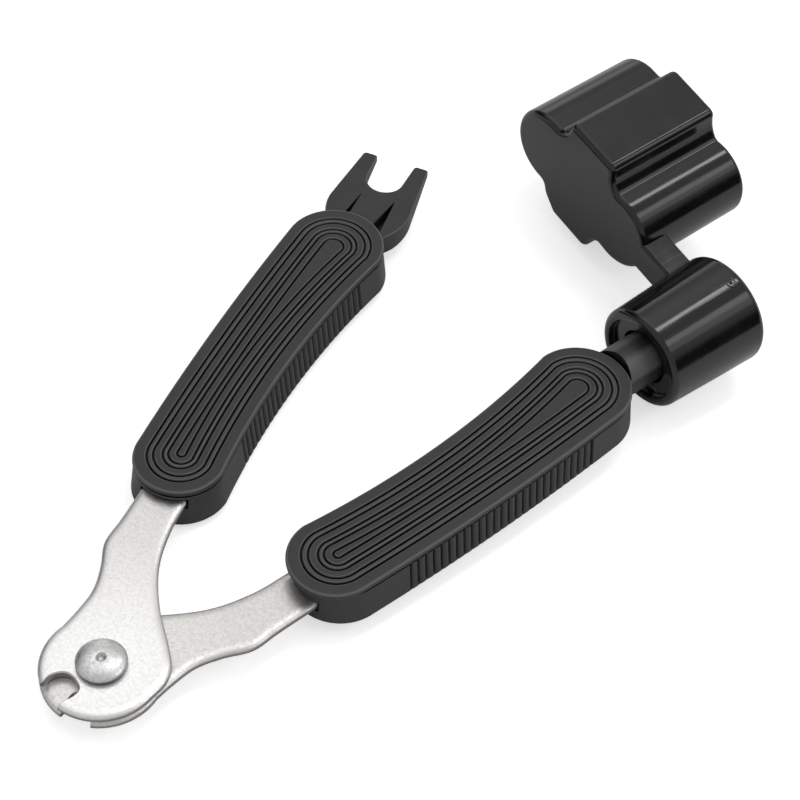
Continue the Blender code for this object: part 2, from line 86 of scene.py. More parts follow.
RIVET_SHANK_RADIUS = 3.0 * MM
RIVET_HOLE_RADIUS = 3.25 * MM
RIVET_HEAD_RADIUS = 4.3 * MM
RIVET_RIM_HEIGHT = 0.7 * MM
RIVET_DOME_HEIGHT = 1.2 * MM
RIVET_TAIL_RADIUS = 4.1 * MM
RIVET_DIMPLE_RADIUS = 0.95 * MM
RIVET_DIMPLE_DEPTH = 0.85 * MM
WASHER_THICKNESS = 0.8 * MM
STACK_GAP = 0.2 * MM

GRIP_NEAR_CENTRE = (6.0 * MM, 42.7 * MM)
GRIP_NEAR_RADIUS = 8.45 * MM
GRIP_FAR_CENTRE = (1.2 * MM, 101.8 * MM)
GRIP_FAR_RADIUS = 9.65 * MM
GRIP_OUTER_BULGE = 0.75 * MM
GRIP_INNER_HOLLOW = 2.4 * MM
# How much faster an outline draws in at the grip's ends than along its sides
GRIP_END_SHARE = 1.08
GRIP_HALF_THICKNESS = 4.25 * MM
RIGHT_BODY_SET_BACK = 1.2 * MM
COVER_THICKNESS = 1.1 * MM
BACK_COVER_INSET = 1.5 * MM
FIT_GAP = 0.3 * MM
# How far a cutter runs past the face it cuts through
PAST = 1 * MM
TANG_CLEARANCE = 0.25 * MM
TANG_SLOT_START = 30 * MM
TANG_PIN_RADIUS = 1.25 * MM
TANG_PIN_PLACES = ((5.0 * MM, 50 * MM), (3.6 * MM, 69 * MM))

# (share along the side where the ribs start and end), for the inner and the outer side
INNER_RIBS = (0.159, 0.895)
OUTER_RIBS = (0.142, 0.890)
RIB_COUNT = 25
RIB_DEPTH = 0.65 * MM
RIB_STEPS = 8
# The share of the side over which the first and the last rib rise from the plain wall
RIB_LEAD = 0.006

FORK_TIP = 132.2 * MM
FORK_ROOT = 104 * MM
FORK_BASE = 112 * MM
FORK_TIP_HALF_WIDTH = 7.05 * MM
FORK_SHOULDER = 117.5 * MM
FORK_SHOULDER_HALF_WIDTH = 8.5 * MM
FORK_ROOT_HALF_WIDTH = 6.0 * MM
FORK_NOTCH_MOUTH = 4.0 * MM
FORK_NOTCH_RADIUS = 3.7 * MM
FORK_NOTCH_DEPTH = 10.0 * MM
FORK_TOP_AT_TIP = 0.7 * MM
FORK_TOP_AT_BASE = 1.4 * MM
FORK_BOTTOM_AT_TIP = -0.8 * MM
FORK_BOTTOM_AT_BASE = -3.3 * MM
FORK_CORNER = 0.7 * MM
FORK_EDGE = 0.25 * MM
# The two tapered slits between the fork's flat middle and its flanks, in mm
FORK_SLITS = (
    ((2.95, 110.5), (4.2, 110.5), (2.9, 119.8), (2.75, 119.8)),
    ((-4.7, 110.5), (-2.2, 110.5), (-4.1, 120.1), (-4.3, 120.1)),
)
FORK_SLIT_FLOOR = -1.2 * MM
FORK_SLIT_TOP = 4 * MM

NECK_RADIUS = 5.0 * MM
NECK_END = 122.0 * MM
POST_RADIUS = 3.4 * MM
POST_END = 134.6 * MM
SCREW_LENGTH = 11 * MM
SCREW_HOLE_RADIUS = 1.65 * MM
HUB_START = 117.45 * MM
HUB_END = 140.0 * MM
HUB_START_RADIUS = 10.3 * MM
HUB_END_RADIUS = 11.1 * MM
HUB_START_LIP = 1.2 * MM
HUB_END_LIP = 1.6 * MM
RECESS_RADIUS = 8.35 * MM
RECESS_DEPTH = 1.3 * MM
NECK_HOLE_RADIUS = 5.6 * MM
NECK_HOLE_END = 122.6 * MM
GATE_MARK_PLACE = (-0.2 * MM, 137.0 * MM)
BUSH_SEAT_RADIUS = 5.2 * MM
BUSH_SEAT_END = 132.4 * MM
WEB_HOLE_RADIUS = 3.7 * MM
WEB_END = 134.2 * MM
SCREW_WELL_RADIUS = 6.2 * MM

CAP_START = 132.45 * MM
CAP_DEPTH = 26.8 * MM
CAP_WALL = 1.7 * MM
CAP_FLOOR = 2.0 * MM
ARM_HALF_WIDTH = 3.6 * MM
ARM_THICKNESS = 6.0 * MM
ARM_ROOT = 3 * MM
# The arm's near face stands this little behind the cap's, so that the two don't share a plane
ARM_STEP = 0.02 * MM
ARM_NEAR_ROUND = 0.8 * MM
ARM_FAR_ROUND = 0.4 * MM
CAP_NEAR_ROUND = 1.2 * MM
CAP_FAR_ROUND = 1.1 * MM
LOBE_RADIUS = 8.45 * MM
NEAR_LOBE = 25.2 * MM
FAR_LOBE = 47.2 * MM
BLOCK_START = 30.25 * MM
BLOCK_END = 43.35 * MM
BLOCK_HALF_WIDTH = 13.55 * MM
BLOCK_CORNER = 1.6 * MM
BLOCK_CHAMFER = 2.6 * MM
BLOCK_SHOULDER = 1.2 * MM

# The camera's place in metres, its angles in radians
CAMERA_PLACE = (0.13810, -0.12325, 0.28744)
CAMERA_AZIMUTH = 0.5932
CAMERA_ELEVATION = 0.8645
CAMERA_ROLL = 0.068
CAMERA_LENS_MM = 91.23

TOOL_CENTRE = Vector((0.02, 0.08, 0.0))
# How much the table's height changes for each metre along X and along Y
TABLE_RISE_X = -0.072
TABLE_RISE_Y = -0.0203
TABLE_HALF_SIDE = 4.0
TABLE_GAP = 0.1 * MM
WALL_LEVEL = 0.62
WALL_LEAST = 0.02
STAGE_BOOST = 0.55
# ((azimuth, elevation), inner and outer angle, strength): patches of light, or of shade, on the walls
WALL_GLOWS = (
    ((-62, 66), 4, 34, 0.72),
    ((-45, 20), 3, 11, 0.7),
    ((80, 0), 5, 30, -0.5),
    ((60, 0), 5, 30, -0.4),
    ((-92, 8), 10, 38, -0.58),
)
SOFTBOX_DISTANCE = 0.9
SOFTBOX_HEIGHT = 0.5
# name, (azimuth, elevation), width, radiance
SOFTBOXES = (
    ("strip light", (12, 65), 0.10, 6.5),
    ("side light", (63, 50), 0.16, 2.0),
    ("side light's edge", (69, 40), 0.18, 0.8),
)


# ---------------------------------------------------------------- outlines


def arc(centre, radius, start, end, steps):
    return [
        (centre[0] + radius * cos(start + (end - start) * i / steps),
         centre[1] + radius * sin(start + (end - start) * i / steps))
        for i in range(steps + 1)
    ]


def flowing(points, steps=8):
    """A smooth curve through the points, without its first and last one (Catmull-Rom)."""
    curve = []
    for a, b, c, d in zip(points, points[1:], points[2:], points[3:]):
        for i in range(steps):
            t = i / steps
            curve.append(tuple(
                0.5 * (2 * q + (r - p) * t + (2 * p - 5 * q + 4 * r - s) * t**2
                       + (3 * q - p - 3 * r + s) * t**3)
                for p, q, r, s in zip(a, b, c, d)
            ))
    curve.append(points[-2])
    return curve


def bowed(start, end, bow, shares):
    """Points at these shares of the way from start to end, on a shallow bow to the left of that way."""
    along = Vector(end) - Vector(start)
    side = Vector((-along.y, along.x)).normalized()
    return [tuple(Vector(start) + along * t + side * bow * 4 * t * (1 - t)) for t in shares]


def softened(points, reach):
    """The path with each corner inside it rounded off, from this far before it to this far after it."""
    path = [points[0]]
    for before, corner, after in zip(points, points[1:], points[2:]):
        before, corner, after = Vector(before), Vector(corner), Vector(after)
        start = corner + (before - corner).normalized() * min(reach, (before - corner).length * 0.45)
        end = corner + (after - corner).normalized() * min(reach, (after - corner).length * 0.45)
        path += [tuple(start.lerp(corner, t).lerp(corner.lerp(end, t), t)) for t in (0, 0.25, 0.5, 0.75, 1)]
    return path + [points[-1]]


def even(steps):
    return [i / steps for i in range(1, steps)]


def in_mm(*points):
    return [(v * MM, y * MM) for v, y in points]


def normals(outline):
    """The unit outward normal at each point of an anticlockwise outline."""
    result = []
    for i in range(len(outline)):
        along = (Vector(outline[(i + 1) % len(outline)]) - Vector(outline[i - 1])).normalized()
        result.append(Vector((along.y, -along.x)))
    return result


def grown(outline, distance):
    """The outline moved outwards, by one distance or by one for each point."""
    distances = distance if isinstance(distance, list) else [distance] * len(outline)
    return [(point[0] + normal.x * step, point[1] + normal.y * step)
            for point, normal, step in zip(outline, normals(outline), distances)]


def placed(outline, side):
    """(v, y) points as (x, y) on one side, in anticlockwise order on both."""
    points = [(side * v, y) for v, y in outline]
    return points if side > 0 else points[::-1]


def lever_outline():
    """The steel plate's outline in (v, y): a round head, a waist and a tapering tang."""
    outer_waist = flowing(in_mm(
        (10.35, 1.0), (9.45, 4.35), (8.6, 8.4), (8.15, 12.8), (9.1, 17.5), (10.8, 22.5), (10.4, 28.0),
        (10.0, 36.0), (9.8, 42.0)
    ))
    inner_waist = flowing(in_mm(
        (1.4, 44.0), (1.5, 36.0), (1.5, 29.0), (0.0, 21.4), (-3.7, 14.0), (-8.5, 7.45), (-10.6, 4.0),
        (-11.0, 0.8), (-10.1, -2.5), (-8.9, -5.4)
    ))
    tang = [(6.4 * MM, TANG_END - 1.5 * MM), (5.0 * MM, TANG_END), (1.4 * MM, TANG_END),
            (0.2 * MM, TANG_END - 1.5 * MM), (1.2 * MM, 50 * MM)]
    start = atan2(inner_waist[-1][1], inner_waist[-1][0]) % (2 * pi) - 2 * pi
    end = atan2(outer_waist[0][1], outer_waist[0][0])
    return arc((0, 0), HEAD_RADIUS, start, end, 72) + outer_waist[1:] + tang + inner_waist[:-1]


def notch_outline():
    """The string notch: a hooked slot that runs in from the head's rim on the outer side."""
    mouth = in_mm((3.2, -12.0), (8.0, -12.0), (9.0, -8.0))
    return flowing(in_mm(
        (9.0, -8.0), (7.3, -6.9), (6.7, -5.4), (5.7, -4.3), (4.6, -3.8), (3.5, -3.9), (2.4, -4.5),
        (1.5, -5.3), (1.2, -6.2), (1.6, -7.4), (2.4, -8.5), (2.9, -9.6), (3.2, -12.0)
    ), 4) + mouth


def grip_outline(grow=0.0, set_back=0.0, ribs=None):
    """The grip's outline in (v, y), grown outwards, with its near end set back from the pivot. With a depth for
    the ribs, they cut the sides."""
    shift = -grow * (GRIP_END_SHARE - 1) if grow < 0 else 0
    near = Vector(GRIP_NEAR_CENTRE) + Vector((0, set_back + shift))
    far = Vector(GRIP_FAR_CENTRE) - Vector((0, shift))
    near_radius, far_radius = GRIP_NEAR_RADIUS + grow, GRIP_FAR_RADIUS + grow
    outer = atan2(far.y - near.y, far.x - near.x) - pi / 2
    near_cap = arc(near, near_radius, outer - pi, outer, 36)
    far_cap = arc(far, far_radius, outer, outer + pi, 40)
    sides = []
    for start, end, bow, (first, last) in (
        (near_cap[-1], far_cap[0], -GRIP_OUTER_BULGE, OUTER_RIBS),
        (far_cap[-1], near_cap[0], GRIP_INNER_HOLLOW, tuple(1 - share for share in reversed(INNER_RIBS))),
    ):
        if ribs is None:
            sides.append(bowed(start, end, bow, even(40)))
            continue
        shares, depths = rib_steps(first, last)
        side = bowed(start, end, bow, shares)
        inwards = -Vector((end[1] - start[1], -(end[0] - start[0]))).normalized()
        sides.append([(x + inwards.x * depth * ribs, y + inwards.y * depth * ribs)
                      for (x, y), depth in zip(side, depths)])
    return near_cap + sides[0] + far_cap + sides[1]


def rib_steps(first, last):
    """Shares along a grip's side, and how deep the wall is cut at each: round ribs and sharp valleys."""
    shares = [first * i / 5 for i in range(1, 5)] + [first - RIB_LEAD]
    depths = [0.0] * 5
    for rib in range(RIB_COUNT):
        for i in range(RIB_STEPS):
            across = 2 * i / RIB_STEPS - 1
            shares.append(first + (last - first) * (rib + i / RIB_STEPS) / RIB_COUNT)
            depths.append(abs(across) ** 3)
    shares += [last, last + RIB_LEAD] + [last + (1 - last) * i / 5 for i in range(1, 5)]
    depths += [1.0, 0.0] + [0.0] * 4
    return shares, depths


def fork_outline():
    """Two tines on either side of a U notch, in (v, y), with sides that draw in to a root inside the grip."""
    notch_centre = FORK_TIP - FORK_NOTCH_DEPTH + FORK_NOTCH_RADIUS
    notch = arc((0, notch_centre), FORK_NOTCH_RADIUS, 0, -pi, 24)
    corner = FORK_CORNER
    side = [(FORK_ROOT_HALF_WIDTH, FORK_ROOT), (FORK_ROOT_HALF_WIDTH, FORK_BASE - 2 * MM)]
    side += bowed(side[-1], (FORK_SHOULDER_HALF_WIDTH, FORK_SHOULDER), -0.7 * MM, even(10))
    side += [(FORK_SHOULDER_HALF_WIDTH, FORK_SHOULDER)]
    side += arc((FORK_TIP_HALF_WIDTH - corner, FORK_TIP - corner), corner, 0.05, pi / 2, 4)
    side += arc((FORK_NOTCH_MOUTH + corner, FORK_TIP - corner), corner, pi / 2, pi, 4)
    return side + notch + [(-v, y) for v, y in reversed(side)]


def cap_outline(shrink=0.0):
    """The peg cap's outline as (distance along the arm, across it): two round lobes and a block between them,
    with one cut corner."""
    radius = LOBE_RADIUS - shrink
    start, end = BLOCK_START + shrink, BLOCK_END - shrink
    half = BLOCK_HALF_WIDTH - shrink
    corner = BLOCK_CORNER if not shrink else BLOCK_CORNER * 0.6
    far_lobe = arc((FAR_LOBE, 0), radius, -pi / 2, pi / 2, 36)
    near_lobe = arc((NEAR_LOBE, 0), radius, 0.42 * pi, 1.58 * pi, 40)
    shoulder = radius + BLOCK_SHOULDER
    foot = (end + 2.2 * MM, radius)
    chamfer = (end + 1.0 * MM, shoulder + 1.0 * MM)
    far_upper = softened(
        [far_lobe[-1], foot, chamfer, (end - BLOCK_CHAMFER, half), (start + corner, half)], 0.9 * MM
    )[1:-1]
    far_lower = softened(
        [far_lobe[-1], foot, (end + 0.6 * MM, shoulder), (end, half - corner)], 0.9 * MM
    )[1:-1]
    far_lower += arc((end - corner, half - corner), corner, 0, pi / 2, 6)
    near_side = arc((start + corner, half - corner), corner, pi / 2, pi, 6)
    step = (start - 0.7 * MM, shoulder + 0.4 * MM)
    near_foot = (start - 2.15 * MM, radius - 0.1 * MM)
    near_side += softened([near_side[-1], step, near_foot, near_lobe[0]], 1.2 * MM)[1:-1]
    lower = [(s, -t) for s, t in reversed(far_lower + near_side)]
    return far_lobe[1:] + far_upper + near_side + near_lobe[1:] + lower


# ---------------------------------------------------------------- solids


def prism(outline, bottom, top):
    """A prism on a closed outline; bottom and top are heights, or functions of (x, y) that give them."""
    low = bottom if callable(bottom) else lambda x, y: bottom
    high = top if callable(top) else lambda x, y: top
    maker = bmesh.new()
    lower = [maker.verts.new((x, y, low(x, y))) for x, y in outline]
    upper = [maker.verts.new((x, y, high(x, y))) for x, y in outline]
    maker.faces.new(lower)
    maker.faces.new(upper)
    for i in range(len(outline)):
        j = (i + 1) % len(outline)
        maker.faces.new((lower[i], lower[j], upper[j], upper[i]))
    return maker


def stacked(rings):
    """A solid through closed outlines with the same number of points, as (outline, height) from end to end."""
    maker = bmesh.new()
    loops = [[maker.verts.new((x, y, height)) for x, y in outline] for outline, height in rings]
    maker.faces.new(loops[0])
    maker.faces.new(loops[-1])
    for low, high in zip(loops, loops[1:]):
        for i in range(len(low)):
            j = (i + 1) % len(low)
            maker.faces.new((low[i], low[j], high[j], high[i]))
    return maker


def lathe(profile, steps=96, axis="Y"):
    """Spins (radius, distance) points about the axis. They start and end on it, or they make a closed loop."""
    maker = bmesh.new()
    points = [Vector((r, d, 0)) if axis == "Y" else Vector((r, 0, d)) for r, d in profile]
    verts = [maker.verts.new(p) for p in points]
    closed = profile[0][0] > 0
    pairs = zip(verts, verts[1:] + verts[:1]) if closed else zip(verts, verts[1:])
    edges = [maker.edges.new(pair) for pair in pairs]
    direction = (0, 1, 0) if axis == "Y" else (0, 0, 1)
    bmesh.ops.spin(maker, geom=verts + edges, axis=direction, cent=(0, 0, 0), angle=2 * pi, steps=steps)
    bmesh.ops.remove_doubles(maker, verts=maker.verts, dist=1e-7)
    return maker


def disc_z(radius, centre, bottom, top, steps=32):
    return prism(arc(centre, radius, 0, 2 * pi, steps)[:-1], bottom, top)


def stand(maker):
    """Turns a solid drawn on (x, z) outlines, with heights along Y, to lie square to Y."""
    bmesh.ops.rotate(maker, verts=maker.verts, cent=(0, 0, 0), matrix=Matrix.Rotation(pi / 2, 3, "X"))
    return maker


def standing(rings):
    """As stacked(), with outlines in (x, z) square to Y and distances along Y."""
    return stand(stacked([(outline, -distance) for outline, distance in rings]))


def new_piece(name, maker, place):
    mesh = bpy.data.meshes.new(name)
    bmesh.ops.transform(maker, matrix=place, verts=maker.verts)
    bmesh.ops.recalc_face_normals(maker, faces=maker.faces)
    maker.to_mesh(mesh)
    maker.free()
    piece = bpy.data.objects.new(name, mesh)
    bpy.context.scene.collection.objects.link(piece)
    return piece


def merge(piece, other, operation):
    """Cuts another piece from this one or joins it on, then removes the other."""
    modifier = piece.modifiers.new("merge", "BOOLEAN")
    modifier.operation = operation
    modifier.object = other
    modifier.solver = "EXACT"
    bpy.context.view_layer.update()
    graph = bpy.context.evaluated_depsgraph_get()
    result = bpy.data.meshes.new_from_object(piece.evaluated_get(graph))
    piece.modifiers.clear()
    old = piece.data
    piece.data = result
    bpy.data.meshes.remove(old)
    bpy.data.objects.remove(other, do_unlink=True)


def cut(piece, maker, place):
    merge(piece, new_piece("cutter", maker, place), "DIFFERENCE")


def join(piece, maker, place):
    merge(piece, new_piece("addition", maker, place), "UNION")


def dress(piece, material, body, nodes, smooth_deg=32):
    """Gives a piece its finish and its body, and hides the CAD nodes that it stands for."""
    piece.data.materials.clear()
    piece.data.materials.append(material)
    piece.data.shade_smooth()
    piece.data.set_sharp_from_angle(angle=radians(smooth_deg))
    even_normals = piece.modifiers.new("even normals", "WEIGHTED_NORMAL")
    even_normals.keep_sharp = True
    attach(piece, body)
    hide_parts(*nodes)
    return piece


# ---------------------------------------------------------------- materials


def new_material(name):
    material = bpy.data.materials.new(name)
    material.use_nodes = True
    tree = material.node_tree
    coords = tree.nodes.new("ShaderNodeTexCoord")
    return tree, tree.nodes["Principled BSDF"], coords.outputs["Object"], material


def noise(tree, coords, size, detail=2.0, roughness=0.5):
    """Noise with features of about this size."""
    node = tree.nodes.new("ShaderNodeTexNoise")
    node.inputs["Scale"].default_value = 1 / size
    node.inputs["Detail"].default_value = detail
    node.inputs["Roughness"].default_value = roughness
    tree.links.new(coords, node.inputs["Vector"])
    return node.outputs["Fac"]


def ramp(tree, source, stops):
    """Maps a value through (position, grey or colour) stops."""
    node = tree.nodes.new("ShaderNodeValToRGB")
    elements = node.color_ramp.elements
    while len(elements) < len(stops):
        elements.new(0.5)
    for element, (position, value) in zip(elements, stops):
        element.position = position
        element.color = (*value, 1) if isinstance(value, tuple) else (value, value, value, 1)
    tree.links.new(source, node.inputs["Fac"])
    return node.outputs["Color"]


def bump(tree, layers):
    """One normal from several (height source, strength, depth) layers."""
    normal = None
    for source, strength, depth in layers:
        node = tree.nodes.new("ShaderNodeBump")
        node.inputs["Strength"].default_value = strength
        node.inputs["Distance"].default_value = depth
        tree.links.new(source, node.inputs["Height"])
        if normal:
            tree.links.new(normal, node.inputs["Normal"])
        normal = node.outputs["Normal"]
    return normal


def blend(tree, how, factor, a, b):
    """Mixes two colours; the factor is a number or a socket."""
    mix = tree.nodes.new("ShaderNodeMix")
    mix.data_type = "RGBA"
    mix.blend_type = how
    if isinstance(factor, float):
        mix.inputs["Factor"].default_value = factor
    else:
        tree.links.new(factor, mix.inputs["Factor"])
    tree.links.new(a, mix.inputs["A"])
    tree.links.new(b, mix.inputs["B"])
    return mix.outputs["Result"]


# Distances from the pivot between which the steel's painted sheen fades, from its light tone to its dark one
STEEL_SHEEN_FULL_TO = 8 * MM
STEEL_SHEEN_GONE_FROM = 26 * MM
# How far the painted shade in a moulding's recesses reaches
RECESS_SHADE_REACH = 1.6 * MM
FLOW_WIDTH = 0.9 * MM
FLOW_STRETCH = 22


def satin_steel(name, light, dark, rough, mottling, edge):
    """Tumbled sheet steel: satin, with a painted sheen that lightens it near the pivot, a frosted mottling and
    fine pits, and painted shade on its rolled edges (edge, their shaded tone)."""
    tree, shader, coords, material = new_material(name)
    shader.inputs["Metallic"].default_value = 1.0
    distance = tree.nodes.new("ShaderNodeVectorMath")
    distance.operation = "LENGTH"
    tree.links.new(coords, distance.inputs[0])
    outwards = tree.nodes.new("ShaderNodeMapRange")
    outwards.inputs["From Min"].default_value = STEEL_SHEEN_FULL_TO
    outwards.inputs["From Max"].default_value = STEEL_SHEEN_GONE_FROM
    tree.links.new(distance.outputs["Value"], outwards.inputs["Value"])
    frost = noise(tree, coords, 0.6 * MM, 4, 0.62)
    specks = noise(tree, coords, 0.3 * MM, 3, 0.6)
    axes = tree.nodes.new("ShaderNodeSeparateXYZ")
    tree.links.new(coords.node.outputs["Normal"], axes.inputs["Vector"])
    level = tree.nodes.new("ShaderNodeMath")
    level.operation = "ABSOLUTE"
    tree.links.new(axes.outputs["Z"], level.inputs[0])
    # Painted sheen: the steel's tone is lighter near the pivot and darker along the tang
    colour = ramp(tree, outwards.outputs["Result"], ((0.0, light), (1.0, dark)))
    colour = blend(tree, "MULTIPLY", mottling, colour, ramp(tree, frost, ((0.38, 0.6), (0.58, 1.0))))
    colour = blend(tree, "MULTIPLY", 0.18, colour, ramp(tree, specks, ((0.33, 0.5), (0.45, 1.0))))
    # Painted shade: where the surface tilts away from upright, on the rolled rims, the colour is darkened to
    # the edge tone
    edges = ramp(tree, level.outputs["Value"], ((0.3, edge), (0.85, 1.0)))
    colour = blend(tree, "MULTIPLY", 1.0, colour, edges)
    tree.links.new(colour, shader.inputs["Base Color"])
    dullness = ramp(tree, frost, ((0.35, rough + 0.1), (0.65, rough - 0.05)))
    tree.links.new(dullness, shader.inputs["Roughness"])
    relief = bump(tree, ((specks, 0.2, 0.02 * MM), (frost, 0.25, 0.05 * MM)))
    tree.links.new(relief, shader.inputs["Normal"])
    return material


def moulded_plastic(name, light, dark, rough, grain_size, grain_strength, painted_highlight=None, flow=None):
    """A black moulding, with a spark-eroded grain, slight changes of tone, and painted shade that darkens and
    dulls its recesses. Its rounded edges and groove lips may carry a painted highlight (worn, its colour), and
    it may have faint lines along its draw from the mould (flow, the frame whose Y they follow)."""
    tree, shader, coords, material = new_material(name)
    grain = noise(tree, coords, grain_size, 2, 0.6)
    clouds = noise(tree, coords, 6 * MM, 3)
    colour = ramp(tree, clouds, ((0.35, dark), (0.65, light)))
    colour = blend(tree, "MULTIPLY", 0.5, colour, ramp(tree, grain, ((0.35, 0.3), (0.65, 1.0))))
    # Painted shade: recesses, grooves, rib valleys and the band under the covers are darkened in colour and cut
    # in specular where other surfaces crowd round them
    open_air = tree.nodes.new("ShaderNodeAmbientOcclusion")
    open_air.samples = 6
    open_air.inputs["Distance"].default_value = RECESS_SHADE_REACH
    # Painted highlight: on tilted rims and groove lips the colour is mixed towards a lighter grey, standing in
    # for the light they catch
    if painted_highlight:
        axes = tree.nodes.new("ShaderNodeSeparateXYZ")
        tree.links.new(coords.node.outputs["Normal"], axes.inputs["Vector"])
        edges = ramp(tree, axes.outputs["Z"], ((0.3, 0.0), (0.46, 1.0), (0.92, 1.0), (0.99, 0.0)))
        painted_highlight_colour = tree.nodes.new("ShaderNodeRGB")
        painted_highlight_colour.outputs["Color"].default_value = (*painted_highlight, 1)
        colour = blend(tree, "MIX", edges, colour, painted_highlight_colour.outputs["Color"])
    layers = [(grain, grain_strength, 0.05 * MM)]
    if flow:
        mapping = tree.nodes.new("ShaderNodeMapping")
        mapping.vector_type = "TEXTURE"
        mapping.inputs["Rotation"].default_value = flow.to_euler()
        mapping.inputs["Scale"].default_value = (1, FLOW_STRETCH, 1)
        tree.links.new(coords, mapping.inputs["Vector"])
        layers.append((noise(tree, mapping.outputs["Vector"], FLOW_WIDTH, 3), 0.3, 0.04 * MM))
    shade = ramp(tree, open_air.outputs["AO"], ((0.3, 0.3), (0.8, 1.0)))
    colour = blend(tree, "MULTIPLY", 1.0, colour, shade)
    tree.links.new(colour, shader.inputs["Base Color"])
    shine = ramp(tree, open_air.outputs["AO"], ((0.3, 0.1), (0.8, 0.5)))
    tree.links.new(shine, shader.inputs["Specular IOR Level"])
    dullness = ramp(tree, clouds, ((0.3, rough - 0.03), (0.7, rough + 0.03)))
    tree.links.new(dullness, shader.inputs["Roughness"])
    tree.links.new(bump(tree, layers), shader.inputs["Normal"])
    return material


def white_stage(name):
    """Matt white paper, which the camera sees a little brighter than its light makes it."""
    tree, shader, coords, material = new_material(name)
    shader.inputs["Roughness"].default_value = 0.9
    shader.inputs["Specular IOR Level"].default_value = 0.0
    paper = noise(tree, coords, 2 * MM, 2)
    tree.links.new(ramp(tree, paper, ((0.3, 0.86), (0.7, 0.88))), shader.inputs["Base Color"])
    shader.inputs["Emission Color"].default_value = (1, 1, 1, 1)
    path = tree.nodes.new("ShaderNodeLightPath")
    boost = tree.nodes.new("ShaderNodeMath")
    boost.operation = "MULTIPLY"
    boost.inputs[1].default_value = STAGE_BOOST
    tree.links.new(path.outputs["Is Camera Ray"], boost.inputs[0])
    tree.links.new(boost.outputs["Value"], shader.inputs["Emission Strength"])
    return material


# The lower plate's steel is the upper one's toned darker as painted shade, a little rougher and more mottled;
# all three steels take the painted sheen and edge shade
UPPER_STEEL = satin_steel("upper plate steel", (0.865, 0.86, 0.85), (0.705, 0.69, 0.675), 0.34, 0.18, 0.28)
SHADED_LOWER_STEEL = satin_steel("shaded lower plate steel", (0.73, 0.715, 0.695), (0.665, 0.65, 0.63), 0.38, 0.22, 0.35)
RIVET_STEEL = satin_steel("rivet steel", (0.74, 0.735, 0.73), (0.62, 0.615, 0.61), 0.34, 0.5, 0.25)
# The grip plastic's lighter grey is the painted highlight on its groove lips and cover rims
GRIP_PLASTIC = moulded_plastic("matt black plastic", (0.024, 0.024, 0.0245), (0.016, 0.016, 0.0165), 0.5,
                               0.34 * MM, 0.45, painted_highlight=(0.095, 0.095, 0.095))
WINDER_PLASTIC = moulded_plastic("gloss black plastic", (0.007, 0.007, 0.0075), (0.005, 0.005, 0.0055), 0.13,
                                 0.9 * MM, 0.05, flow=CRANK)
NYLON = moulded_plastic("dark nylon", (0.05, 0.05, 0.048), (0.035, 0.035, 0.034), 0.42, 0.3 * MM, 0.2)


# ---------------------------------------------------------------- levers and rivet


def lever_plate(name, place, side, bottom, steel, body, node):
    """A blanked plate with rolled edges, and crisp ones in the string notch."""
    outline = placed(lever_outline(), side)
    shares = [min(1.0, max(RIM_LEAST_SHARE, (RIM_FADE_END - y) / RIM_FADE)) for _, y in outline]

    def ring(share, height):
        return grown(outline, [-RIM_WIDTH * share * local for local in shares]), height

    top = bottom + PLATE_THICKNESS
    rings = [ring(share, bottom + drop * MM) for share, drop in RIM_ROLL]
    rings += [ring(share, top - drop * MM) for share, drop in reversed(RIM_ROLL)]
    plate = new_piece(name, stacked(rings), place)
    notch = placed(notch_outline(), side)
    edge = NOTCH_EDGE
    cut(plate, stacked([
        (grown(notch, edge * 2), bottom - edge),
        (grown(notch, edge * 0.5), bottom + 0.5 * edge),
        (notch, bottom + 1.2 * edge),
        (notch, top - 1.2 * edge),
        (grown(notch, edge * 0.5), top - 0.5 * edge),
        (grown(notch, edge * 2), top + edge),
    ]), place)
    cut(plate, disc_z(RIVET_HOLE_RADIUS, (0, 0), bottom - PAST, top + PAST, 48), place)
    for v, y in TANG_PIN_PLACES:
        cut(plate, disc_z(TANG_PIN_RADIUS + FIT_GAP, (side * v, y), bottom - PAST, top + PAST, 24), place)
    return dress(plate, steel, body, [node])


def rivet():
    """A domed head with a dimple in its middle, a shank and a flat tail, spun as one profile."""
    seat = PLATE_GAP / 2 + PLATE_THICKNESS + STACK_GAP
    tail_top = -seat - WASHER_THICKNESS - STACK_GAP
    tail_bottom = -GRIP_HALF_THICKNESS
    rim_top = seat + RIVET_RIM_HEIGHT
    profile = [(0, tail_bottom), (RIVET_TAIL_RADIUS - 0.6 * MM, tail_bottom),
               (RIVET_TAIL_RADIUS - 0.2 * MM, tail_bottom + 0.12 * MM),
               (RIVET_TAIL_RADIUS, tail_bottom + 0.5 * MM),
               (RIVET_TAIL_RADIUS, tail_top), (RIVET_SHANK_RADIUS, tail_top), (RIVET_SHANK_RADIUS, seat),
               (RIVET_HEAD_RADIUS - 0.15 * MM, seat), (RIVET_HEAD_RADIUS, seat + 0.15 * MM)]
    for i in range(20):
        radius = RIVET_HEAD_RADIUS * (1 - i / 20) + RIVET_DIMPLE_RADIUS * i / 20
        rise = (1 - (radius / RIVET_HEAD_RADIUS) ** 2) ** 0.75
        profile.append((radius, rim_top + RIVET_DOME_HEIGHT * rise))
    top = rim_top + RIVET_DOME_HEIGHT
    for share, drop in ((1.0, 0.08), (0.85, 0.16), (0.55, 0.75), (0.3, 0.95), (0.0, 1.0)):
        profile.append((RIVET_DIMPLE_RADIUS * share, top - RIVET_DIMPLE_DEPTH * drop))
    piece = new_piece("rivet", lathe(profile, 96, "Z"), LEFT)
    return dress(piece, RIVET_STEEL, "left_handle", ["pivot_rivet"], 40)


# ---------------------------------------------------------------- grips

# The cover's section as (inset from its edge, height against its top), both in mm
COVER_EDGE = ((0.0, -0.6), (0.05, -0.38), (0.14, -0.2), (0.28, -0.09), (0.48, -0.03), (0.75, 0.0))
